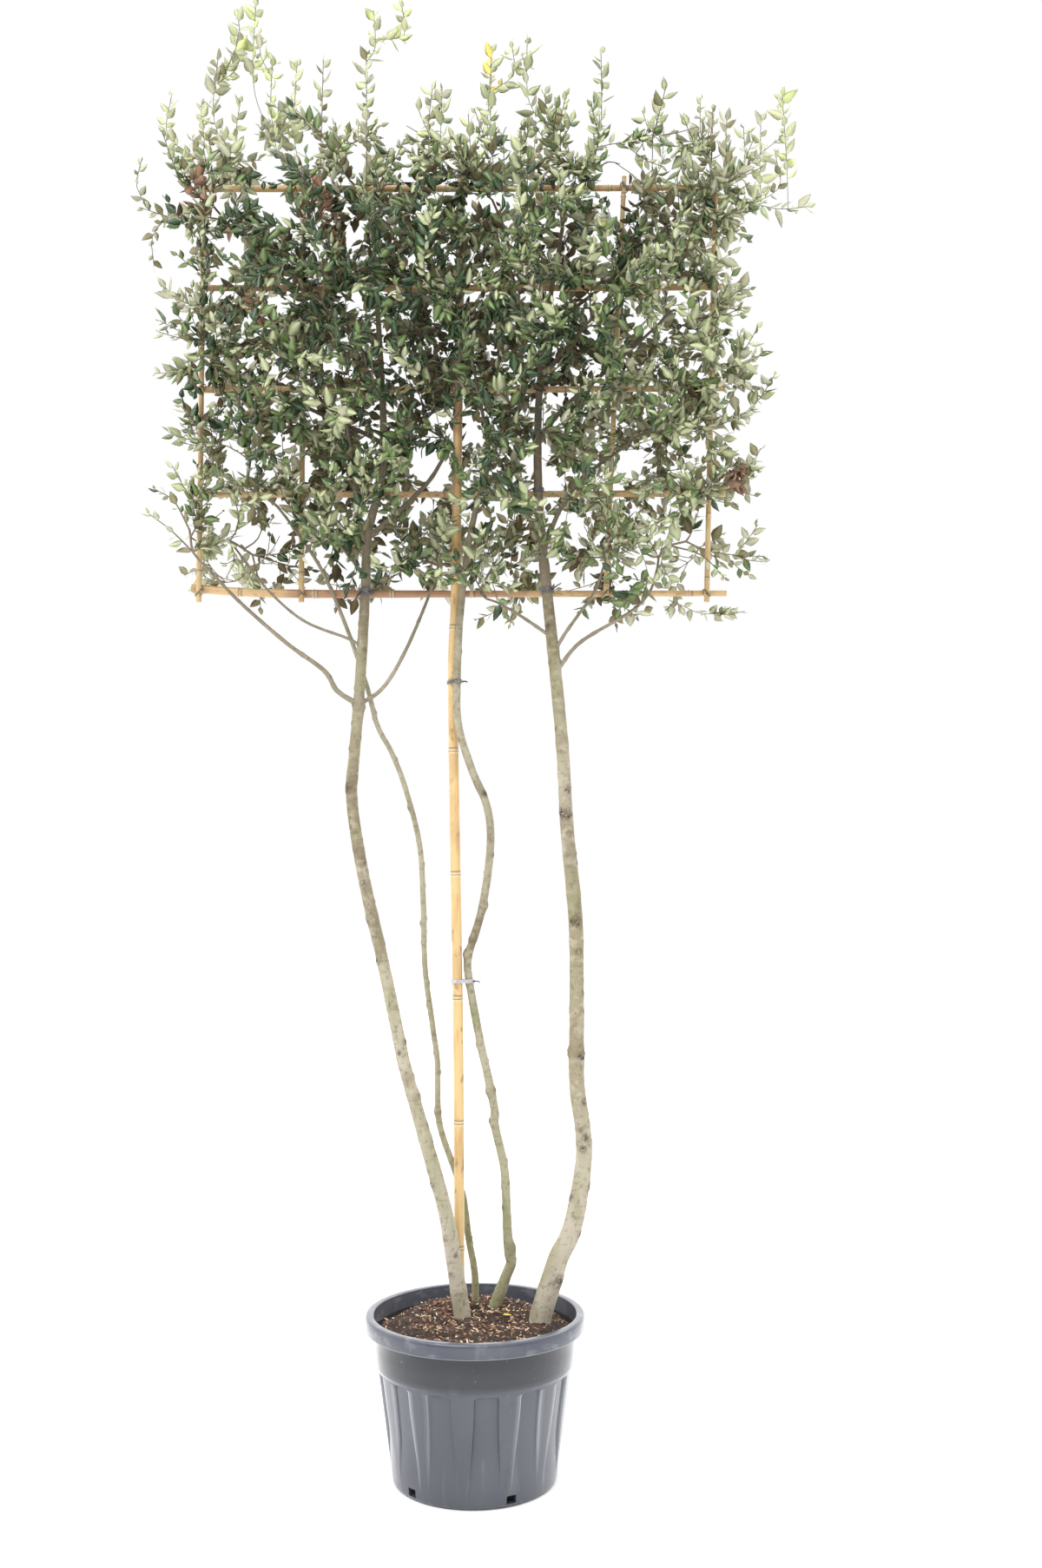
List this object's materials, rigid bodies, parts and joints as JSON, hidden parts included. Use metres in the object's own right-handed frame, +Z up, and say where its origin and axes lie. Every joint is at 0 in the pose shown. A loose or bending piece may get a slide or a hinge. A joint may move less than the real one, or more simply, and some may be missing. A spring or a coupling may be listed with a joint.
{
  "type": "potted espalier holm oak",
  "caption": "Multi-stemmed holm oak in a ribbed round pot: bare stems carry a flat, open crown of small leaves trained on a cane rack.",
  "frame": {"origin": "centre of the pot's flat underside", "axes": "+Z up; the rack and the crown spread along X; the looked-at side faces -Y"},
  "size_m": [2.0053, 0.6534, 4.2698],
  "materials": {
    "pot_plastic": "matt moulded, scuffed",
    "bark_mix": "loose bark mix",
    "stem_bark": "smooth grey-green bark",
    "bough_bark": "smooth grey-brown bark",
    "cane": "satin cane",
    "tie": "soft tube tie",
    "leaf": "leathery, slightly glossy above"
  },
  "bodies": {
    "root": {"pot": "pot_plastic", "soil": "bark_mix", "stem_left": "stem_bark", "stem_thin": "stem_bark", "stem_middle": "stem_bark", "stem_right": "stem_bark", "bough_low_far_left": "bough_bark", "bough_low_left": "bough_bark", "bough_low_mid_left": "bough_bark", "bough_low_centre_left": "bough_bark", "bough_mid_centre_left": "bough_bark", "bough_mid_left": "bough_bark", "bough_mid_far_left": "bough_bark", "bough_high_left": "bough_bark", "bough_top_far_left": "bough_bark", "bough_centre": "bough_bark", "bough_low_centre_right": "bough_bark", "bough_low_right": "bough_bark", "bough_low_far_right": "bough_bark", "bough_mid_right": "bough_bark", "bough_mid_far_right": "bough_bark", "bough_high_right": "bough_bark", "bough_high_far_right": "bough_bark", "bough_top_far_right": "bough_bark", "rack_bar_1": "cane", "rack_bar_2": "cane", "rack_bar_3": "cane", "rack_bar_4": "cane", "rack_bar_5": "cane", "rack_post_far_left": "cane", "rack_post_left": "cane", "rack_post_right": "cane", "rack_post_far_right": "cane", "rack_pole": "cane", "tie_low": "tie", "tie_high": "tie", "leaves_low_far_left": "leaf", "leaves_low_left": "leaf", "leaves_low_mid_left": "leaf", "leaves_low_centre_left": "leaf", "leaves_low_centre_right": "leaf", "leaves_low_right": "leaf", "leaves_low_far_right": "leaf", "leaves_mid_far_left": "leaf", "leaves_mid_left": "leaf", "leaves_mid_centre_left": "leaf", "leaves_mid_right": "leaf", "leaves_mid_far_right": "leaf", "leaves_high_far_left": "leaf", "leaves_high_left": "leaf", "leaves_high_centre": "leaf", "leaves_high_right": "leaf", "leaves_high_far_right": "leaf", "leaves_top_far_left": "leaf", "leaves_top_left": "leaf", "leaves_top_centre": "leaf", "leaves_top_right": "leaf", "leaves_top_far_right": "leaf"}
  },
  "joints": []
}
